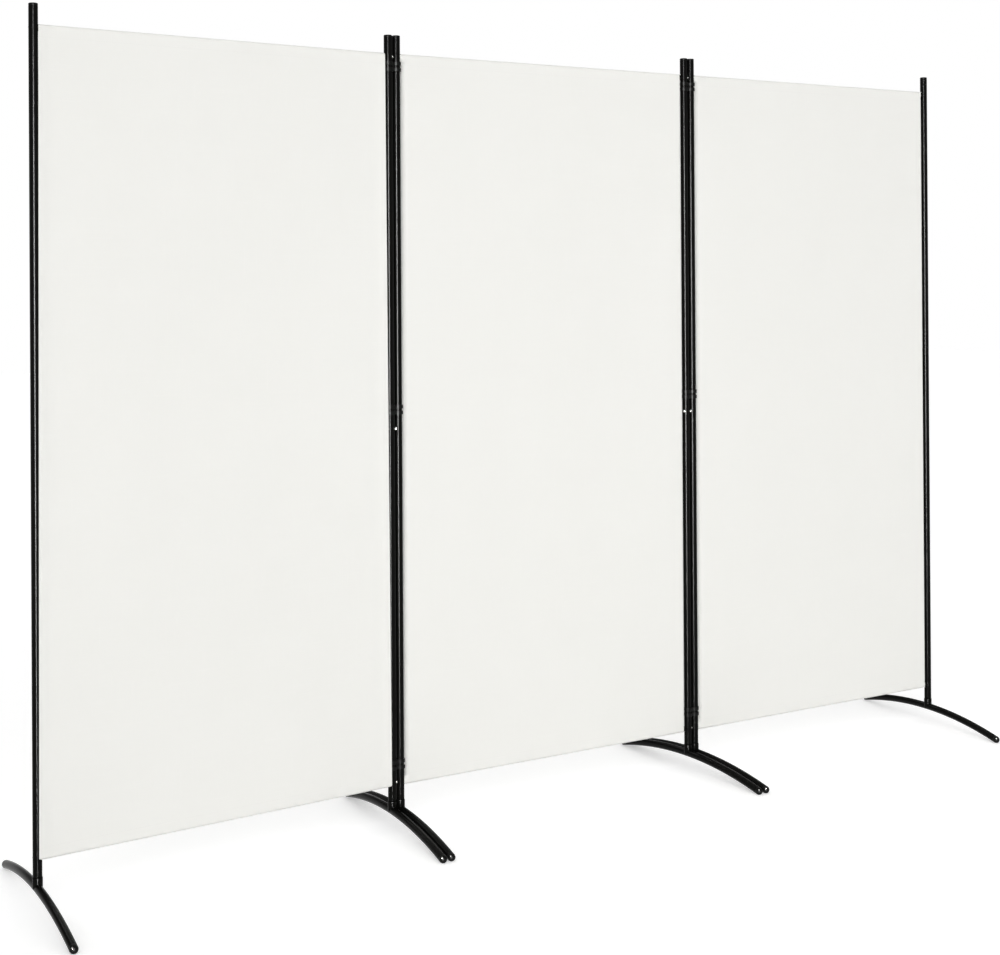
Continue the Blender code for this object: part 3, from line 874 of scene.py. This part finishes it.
def add_clips():
    mesh = finished(clip(), PLASTIC)
    for side, near, far in (("left", 2, 3), ("right", 4, 5)):
        place = standing(AXES[far], heading(near, far))
        for level, height in CLIP_PLACES.items():
            stand_in(f"{side}_{level}_clip", mesh, place @ raised(height))


# Feet

def arch_point(angle):
    return Vector((0, ARCH_BEND * math.sin(angle), ARCH_MIDDLE_HEIGHT - ARCH_BEND * (1 - math.cos(angle))))


def arch_points(reach):
    return [arch_point(reach * (2 * step / ARCH_STEPS - 1)) for step in range(ARCH_STEPS + 1)]


def weld_bead(facing):
    """A bead where the collar meets the top of the arch, in front of it or behind it."""
    points = []
    for x, y in arc(COLLAR_RADIUS, 90 - BEAD_SPREAD, 90 + BEAD_SPREAD, BEAD_STEPS):
        rise = math.sqrt(FOOT_RADIUS ** 2 - x ** 2)
        points.append(Vector((x, facing * y, ARCH_MIDDLE_HEIGHT + rise - y * y / 2 / ARCH_BEND)))
    curve = bpy.data.curves.new("bead", "CURVE")
    curve.dimensions = "3D"
    curve.bevel_depth = BEAD_RADIUS
    curve.bevel_resolution = BEAD_BEVEL_STEPS
    curve.use_fill_caps = True
    line = curve.splines.new("POLY")
    line.points.add(len(points) - 1)
    for index, (place, point) in enumerate(zip(line.points, points)):
        place.co = (*point, 1)
        place.radius = 1 + BEAD_UNEVENNESS * math.sin(BEAD_TURN * index)
    shape = bmesh.new()
    shape.from_mesh(evaluated(linked("bead", curve)))
    bmesh.ops.remove_doubles(shape, verts=shape.verts, dist=WELD)
    return mesh_from(shape, "bead")


def foot():
    """The arch with the welded collar that the post stands on, and the spigot inside the post."""
    spigot_top = COLLAR_TOP + SPIGOT_LENGTH
    socket = turned("socket", [
        (0, ARCH_MIDDLE_HEIGHT), (COLLAR_RADIUS, ARCH_MIDDLE_HEIGHT),
        *rounded_corner(COLLAR_RADIUS, COLLAR_TOP, COLLAR_ROUNDING), (NECK_RADIUS, COLLAR_TOP),
        (NECK_RADIUS, spigot_top - EDGE), (NECK_RADIUS - EDGE, spigot_top), (0, spigot_top),
    ], POST_SIDES)
    spigot_bore = rod("spigot_bore", SPIGOT_BORE, ARCH_MIDDLE_HEIGHT, spigot_top + OVERRUN, SMALL_SIDES)
    reach = ARCH_ANGLE - FOOT_CAP_SKIRT / ARCH_BEND
    outside = swept("foot", arch_points(reach), FOOT_RADIUS, SMALL_SIDES)
    bore = swept("foot_bore", arch_points(ARCH_ANGLE + OVERRUN), FOOT_RADIUS - FOOT_WALL, SMALL_SIDES)
    return combined(
        "foot", outside, ("UNION", socket), ("UNION", weld_bead(-1)), ("UNION", weld_bead(1)),
        ("DIFFERENCE", bore), ("DIFFERENCE", spigot_bore),
    )


def foot_cap_place():
    """Puts the cap's +Z along the arch's end, pointing forward."""
    forward = Matrix.Rotation(math.radians(90) + ARCH_ANGLE, 4, "X")
    return Matrix.Translation(arch_point(-ARCH_ANGLE)) @ forward


def foot_cap():
    """A plug in the tube, a short skirt and a round nose with a flat sole."""
    skirt_low = GAP - FOOT_CAP_SKIRT
    plug_radius = FOOT_RADIUS - FOOT_WALL - GAP
    nose = turned("foot_cap", [
        (0, skirt_low - FOOT_CAP_PLUG), (plug_radius, skirt_low - FOOT_CAP_PLUG),
        (plug_radius, skirt_low), (FOOT_RADIUS - EDGE, skirt_low), (FOOT_RADIUS, skirt_low + EDGE),
        *arc(FOOT_RADIUS, 0, 90, DOME_STEPS)[:-1], (0, FOOT_RADIUS),
    ], SMALL_SIDES)
    nose.transform(foot_cap_place())
    for vertex in nose.vertices:
        vertex.co.z = max(vertex.co.z, 0)
    return nose


def rivet():
    """A low dome on a short shank that is sunk in the cap."""
    return turned("rivet", [
        (0, -RIVET_PROUD), (RIVET_RADIUS, -RIVET_PROUD),
        *rounded_corner(RIVET_RADIUS, RIVET_PROUD, RIVET_PROUD), (0, RIVET_PROUD),
    ], SMALL_SIDES)


def add_feet():
    arch = finished(foot(), PAINT)
    nose = finished(foot_cap(), PLASTIC)
    pin = finished(rivet(), ZINC)
    round_end = Matrix.Rotation(math.radians(RIVET_TURN), 4, "Z")
    tilt = Matrix.Rotation(math.radians(-RIVET_TILT), 4, "X")
    top = foot_cap_place() @ round_end @ tilt @ raised(FOOT_RADIUS)
    about = Matrix.Rotation(math.pi, 4, "Z")
    for number in AXES:
        place = foot_frame(number)
        stand_in(f"foot_{number}", arch, place)
        for end, turn in (("front", Matrix.Identity(4)), ("rear", about)):
            node = f"foot_{number}_{end}_cap"
            stand_in(node, nose, place @ turn)
            add(f"foot_{number}_{end}_rivet", pin, place @ turn @ top, body_of(node))


# Cloth

class Cloth:
    """One panel's sheet in the frame of its left post: where its surface is, and how far it reaches."""

    def __init__(self, panel):
        self.panel = panel
        self.length = (AXES[2 * panel] - AXES[2 * panel - 1]).to_2d().length
        self.lapped = panel == 1
        self.top_seam = FABRIC_TOP - HEM_DEPTH
        self.bottom_seam = FABRIC_BOTTOM + HEM_DEPTH

    def front_share(self, y):
        """1 on the front of the sheet, 0 where it has turned over a bar to the back."""
        return smooth_step((y / FRONT_PLANE - FRONT_FROM_SHARE) / FRONT_FADE_SHARE)

    def pocket_share(self, height):
        """1 where a pocket stands clear of the clips, 0 on the rest of the sheet."""
        from_end = min(FABRIC_TOP - height, height - FABRIC_BOTTOM)
        return smooth_step((POCKET_CLEAR - from_end) / POCKET_EASE)

    def laps(self, height):
        """How far the front's left and right edges are from the posts' axes."""
        if self.lapped:
            fall = (FABRIC_TOP - height) / (FABRIC_TOP - FABRIC_BOTTOM)
            return (
                LEFT_LAP_TOP + (LEFT_LAP_BOTTOM - LEFT_LAP_TOP) * fall,
                RIGHT_LAP_TOP + (RIGHT_LAP_BOTTOM - RIGHT_LAP_TOP) * fall,
            )
        pocket = self.pocket_share(height)
        return (
            FABRIC_EDGE + (POCKET_LEFT - FABRIC_EDGE) * pocket,
            FABRIC_EDGE + (POCKET_RIGHT - FABRIC_EDGE) * pocket,
        )

    def edges(self, y, height):
        """The left and the right edge at this depth and height."""
        front = self.front_share(y)
        left, right = (FABRIC_EDGE + (lap - FABRIC_EDGE) * front for lap in self.laps(height))
        return left, self.length - right

    def wave(self, x, height):
        """How far the stretched sheet bulges forward, nothing along its edges."""
        from_side = min(x, self.length - x) - WAVE_MARGIN
        from_seam = min(self.top_seam - height, height - self.bottom_seam)
        inside = smooth_step(from_side / WAVE_FADE) * smooth_step(from_seam / WAVE_FADE_UP)
        depth = 0.0
        for size, across, up, up_cosine, step in WAVES:
            phase = PANEL_PHASE * step * self.panel
            ripple = math.sin(across * x + up * height + phase)
            depth += size * ripple * math.cos(up_cosine * height + phase)
        return -depth * inside

    def curl(self, x, y, height):
        """How far the sides come forward over the posts of panel 1, or turn back between the others."""
        left, right = self.edges(y, height)
        from_edge = max(min(x - left, right - x), 0.0)
        if self.lapped:
            forward = (FRONT_CURL - FRONT_PLANE) * smooth_step(1 - from_edge / CURL_WIDTH)
            return forward * self.front_share(y)
        turned_share = max(1 - from_edge / BACK_CURL_WIDTH, 0.0) ** BACK_CURL_POWER
        return BACK_CURL_DEPTH * turned_share * (1 - self.pocket_share(height))

    def seam_dip(self, x, y, height):
        """A stitch line pulls the doubled hem in."""
        left, right = self.edges(y, height)
        from_edge = min(x - left, right - x)
        return SEAM_DIP * math.exp(-((from_edge - SIDE_STITCH) / SEAM_DIP_WIDTH) ** 2)

    def surface(self, x, height):
        """A point of the sheet's middle surface between its two seams."""
        y = FRONT_PLANE
        y += self.wave(x, height) + self.curl(x, y, height) + self.seam_dip(x, y, height)
        return Vector((x, y, height))

    def side_slope(self, x, y, height):
        """How far the curl moves back for each metre to the right."""
        right = self.curl(x + SLOPE_REACH, y, height)
        left = self.curl(x - SLOPE_REACH, y, height)
        return (right - left) / (2 * SLOPE_REACH)


def smooth_step(share):
    share = min(max(share, 0.0), 1.0)
    return share * share * (3 - 2 * share)


def tangent_angle(y, drop, side):
    """Where a line from a point under a bar touches the loop, from straight down, backward positive."""
    reach = math.hypot(y, drop)
    return math.atan2(y, drop) + side * math.acos(LOOP_RADIUS / reach)


def between(start, end, steps):
    return [start + (end - start) * step / steps for step in range(1, steps)]


def pocket_profile():
    """(y, height above the bar's axis) points, from the flap's end over the bar to the seam's front."""
    seam = FABRIC_TOP - HEM_DEPTH - TOP_BAR_HEIGHT
    back = Vector((FRONT_PLANE + FLAP_SET, seam))
    front = Vector((FRONT_PLANE, seam))
    start = tangent_angle(back.x, -seam, 1)
    end = tangent_angle(front.x, -seam, -1) + math.tau
    loop = []
    for step in range(LOOP_STEPS + 1):
        angle = start + (end - start) * step / LOOP_STEPS
        loop.append(Vector((LOOP_RADIUS * math.sin(angle), -LOOP_RADIUS * math.cos(angle))))
    flap = [back - Vector((0, FLAP * share)) for share in FLAP_SHARES]
    rise = between(back, loop[0], SLOPE_STEPS)
    fall = between(loop[-1], front, SLOPE_STEPS)
    return [*flap, back, *rise, *loop, *fall, front]


def sheet_profile():
    """The whole way round a sheet, from the flap behind the top seam to the flap behind the bottom one."""
    upper = pocket_profile()
    top = [Vector((point.x, TOP_BAR_HEIGHT + point.y)) for point in upper]
    bottom = [Vector((point.x, BOTTOM_BAR_HEIGHT - point.y)) for point in reversed(upper)]
    return top, between(top[-1], bottom[0], MIDDLE_ROWS), bottom


def sheet_columns(left, right):
    """(x, depth behind the front) of each column, from the left hem's turned edge to the right one's."""
    fine = [0.0, *FINE_COLUMNS]
    reach = fine[-1]
    start = [(left + SIDE_HEM * share, 1.0) for share in HEM_SHARES]
    start += [(left + x, depth) for x, depth in HEM_FOLD]
    start += [(left + x, 0.0) for x in fine]
    finish = [(left + right - x, depth) for x, depth in reversed(start)]
    inner = (right - left) - 2 * reach
    inside = [(left + reach + inner * step / MIDDLE_COLUMNS, 0.0) for step in range(1, MIDDLE_COLUMNS)]
    return start + inside + finish


def sheet_mesh(cloth):
    """A grid over the whole sheet: round both bars, down the front, and in at both side hems."""
    top, rows, bottom = sheet_profile()
    profile = [*top, *rows, *bottom]
    shape = bmesh.new()
    grid = []
    for index, point in enumerate(profile):
        before = profile[max(index - 1, 0)]
        after = profile[min(index + 1, len(profile) - 1)]
        along = (after - before).normalized()
        free = len(top) <= index < len(top) + len(rows)
        left, right = cloth.edges(point.x, point.y)
        line = []
        for x, depth in sheet_columns(left, right):
            if free:
                place = cloth.surface(x, point.y)
            else:
                place = Vector((x, point.x + cloth.curl(x, point.x, point.y), point.y))
            slope = cloth.side_slope(x, point.x, point.y)
            outward = Vector((-slope * along.y, along.y, -along.x)).normalized()
            line.append(shape.verts.new(place - outward * depth * LAYER))
        grid.append(line)
    for upper, lower in zip(grid, grid[1:]):
        for column in range(len(upper) - 1):
            shape.faces.new((upper[column], lower[column], lower[column + 1], upper[column + 1]))
    mesh = bpy.data.meshes.new(f"panel_{cloth.panel}_sheet")
    shape.to_mesh(mesh)
    shape.free()
    return mesh


def stitch(shape, place, along, outward):
    """One stitch: a low bead with pointed ends, half sunk in the cloth."""
    across = along.cross(outward).normalized()
    rings = []
    for share, size in STITCH_RINGS:
        centre = place + along * STITCH_LENGTH * share
        if size == 0:
            rings.append([shape.verts.new(centre - outward * STITCH_RADIUS)])
            continue
        rings.append([
            shape.verts.new(centre + STITCH_RADIUS * (math.cos(angle) * across + math.sin(angle) * outward))
            for angle in (math.tau * step / STITCH_SIDES for step in range(STITCH_SIDES))
        ])
    for step in range(STITCH_SIDES):
        following = (step + 1) % STITCH_SIDES
        shape.faces.new((rings[0][0], rings[1][following], rings[1][step]))
        shape.faces.new((rings[1][step], rings[1][following], rings[2][following], rings[2][step]))
        shape.faces.new((rings[3][0], rings[2][step], rings[2][following]))


def stitching_mesh(cloth):
    """Lock stitches along the side hems and the pocket seams, in front and behind."""
    shape = bmesh.new()
    count = int((cloth.top_seam - cloth.bottom_seam) / STITCH_PITCH)
    for facing, hem, flap in ((-1, 0, 0), (1, LAYER, FLAP_SET)):
        for side in (0, 1):
            for step in range(1, count):
                height = cloth.bottom_seam + step * STITCH_PITCH
                x = cloth.edges(FRONT_PLANE, height)[side] + SIDE_STITCH * (1 - 2 * side)
                slope = cloth.side_slope(x, FRONT_PLANE, height)
                outward = facing * Vector((-slope, 1, 0)).normalized()
                place = cloth.surface(x, height) + outward * (hem + CLOTH / 2)
                stitch(shape, place, Vector((0, 0, 1)), outward)
        outward = Vector((0, facing, 0))
        for height in (cloth.top_seam - SEAM_STITCH, cloth.bottom_seam + SEAM_STITCH):
            left, right = cloth.edges(FRONT_PLANE, height)
            for step in range(1, int((right - left) / STITCH_PITCH)):
                place = cloth.surface(left + step * STITCH_PITCH, height) + outward * (flap + CLOTH / 2)
                stitch(shape, place, Vector((1, 0, 0)), outward)
    return mesh_from(shape, f"panel_{cloth.panel}_stitching")


def length_of(points):
    return sum((end - start).length for start, end in zip(points, points[1:]))


def add_cloth():
    """Each panel's sheet with its stitching, and the width that its surface measures halfway up with all
    hems.
    """
    for panel in PANEL_NUMBERS:
        cloth = Cloth(panel)
        node = f"panel_{panel}_fabric"
        place = post_frame(2 * panel - 1)
        piece = stand_in(node, finished(sheet_mesh(cloth), CLOTH_FINISH, CLOTH_SHARP_ABOVE), place)
        thickness = piece.modifiers.new("Thickness", "SOLIDIFY")
        thickness.thickness = CLOTH
        thickness.offset = 0.0
        stitches = finished(stitching_mesh(cloth), THREAD)
        thread = add(f"panel_{panel}_stitching", stitches, place, body_of(node))
        halfway = (FABRIC_TOP + FABRIC_BOTTOM) / 2
        columns = sheet_columns(*cloth.edges(FRONT_PLANE, halfway))
        wide = length_of([cloth.surface(x, halfway) for x, depth in columns])


# Stage, lights and camera

def add_floor():
    """A plain pale floor that glows a little for the camera alone, so that it stays white round the shadow.

    Reflections pass it, so that the paint mirrors the white world and the strip light down to the feet.
    """
    shape = bmesh.new()
    bmesh.ops.create_grid(shape, x_segments=FLOOR_SEGMENTS, y_segments=FLOOR_SEGMENTS, size=FLOOR_SIZE / 2)
    floor = linked("studio_floor", mesh_from(shape, "studio_floor"))
    floor.location.z = -FLOOR_DROP
    tree = Tree(bpy.data.materials.new("studio_floor"))
    tree.nodes.remove(tree.nodes["Principled BSDF"])
    matt = tree.node("ShaderNodeBsdfDiffuse", {"Color": (FLOOR_TONE, FLOOR_TONE, FLOOR_TONE, 1)})
    rays = tree.nodes.new("ShaderNodeLightPath").outputs
    strength = tree.arithmetic("MULTIPLY", rays["Is Camera Ray"], FLOOR_GLOW)
    glow = tree.node("ShaderNodeEmission", {"Strength": strength})
    both = tree.node("ShaderNodeAddShader", {0: matt.outputs["BSDF"], 1: glow.outputs["Emission"]})
    tree.put(tree.nodes["Material Output"].inputs["Surface"], both.outputs["Shader"])
    floor.data.materials.append(tree.owner)
    floor.visible_glossy = False


def set_world():
    """White for what the camera sees and for level reflections. Light and reflections fade overhead."""
    tree = Tree(bpy.data.worlds.new("studio"))
    bpy.context.scene.world = tree.owner
    direction = tree.nodes.new("ShaderNodeTexCoord").outputs["Generated"]
    upward = tree.node("ShaderNodeSeparateXYZ", {"Vector": direction}).outputs["Z"]
    ambient = tree.nodes["Background"]
    tree.put(ambient.inputs["Color"], WHITE)
    tree.put(ambient.inputs["Strength"], tree.mapped(upward, 0, 1, AMBIENT_LEVEL, AMBIENT_OVERHEAD))
    rays = tree.nodes.new("ShaderNodeLightPath").outputs
    fading = tree.mapped(upward, OVERHEAD_FROM, OVERHEAD_TO, 1, REFLECTED_OVERHEAD)
    strength = tree.arithmetic("MAXIMUM", rays["Is Camera Ray"], fading)
    seen = tree.node("ShaderNodeBackground", {"Color": WHITE, "Strength": strength})
    glossy = tree.arithmetic("MAXIMUM", rays["Is Glossy Ray"], rays["Is Transmission Ray"])
    white = tree.arithmetic("MAXIMUM", rays["Is Camera Ray"], glossy)
    mix = tree.node("ShaderNodeMixShader", {
        0: white, 1: ambient.outputs["Background"], 2: seen.outputs["Background"],
    })
    tree.put(tree.nodes["World Output"].inputs["Surface"], mix.outputs["Shader"])


def aimed(light, place, target):
    """A light at a place, turned to its target and unseen by the camera."""
    made = linked(light.name, light)
    direction = Vector(target) - Vector(place)
    made.location = place
    made.rotation_euler = direction.to_track_quat("-Z", "Y").to_euler()
    made.visible_camera = False
    return made


def area_light(name, size, energy):
    light = bpy.data.lights.new(name, "AREA")
    light.shape = "RECTANGLE"
    light.size, light.size_y = size
    light.energy = energy
    return light


def sun_light(name, energy, angle):
    light = bpy.data.lights.new(name, "SUN")
    light.energy = energy
    light.angle = math.radians(angle)
    return light


def add_lights():
    """Key, bank and fill light the cloth. The other two only draw highlights on the tubes."""
    aimed(sun_light("key", KEY_ENERGY, KEY_ANGLE), KEY_PLACE, KEY_TARGET).visible_glossy = False
    aimed(sun_light("fill", FILL_ENERGY, FILL_ANGLE), FILL_PLACE, FILL_TARGET).visible_glossy = False
    aimed(area_light("bank", BANK_SIZE, BANK_ENERGY), BANK_PLACE, BANK_TARGET).visible_glossy = False
    for name, size, energy, place, target in (
        ("strip", STRIP_SIZE, STRIP_ENERGY, STRIP_PLACE, STRIP_TARGET),
        ("overhead", OVERHEAD_SIZE, OVERHEAD_ENERGY, OVERHEAD_PLACE, OVERHEAD_TARGET),
    ):
        aimed(area_light(name, size, energy), place, target).visible_diffuse = False


def add_camera():
    camera = bpy.data.cameras.new("camera")
    camera.sensor_fit = "HORIZONTAL"
    camera.sensor_width = CAMERA_SENSOR
    camera.lens = CAMERA_LENS
    camera.shift_y = CAMERA_SHIFT
    holder = linked("camera", camera)
    holder.matrix_world = (
        Matrix.Translation(CAMERA_PLACE)
        @ Matrix.Rotation(CAMERA_YAW, 4, "Z")
        @ Matrix.Rotation(math.radians(90) + CAMERA_PITCH, 4, "X")
        @ Matrix.Rotation(CAMERA_ROLL, 4, "Z")
    )
    bpy.context.scene.camera = holder


def main():
    add_posts()
    add_bars()
    add_clips()
    add_feet()
    add_cloth()
    add_floor()
    set_world()
    add_lights()
    add_camera()
    bpy.context.scene.view_settings.view_transform = "Standard"


main()
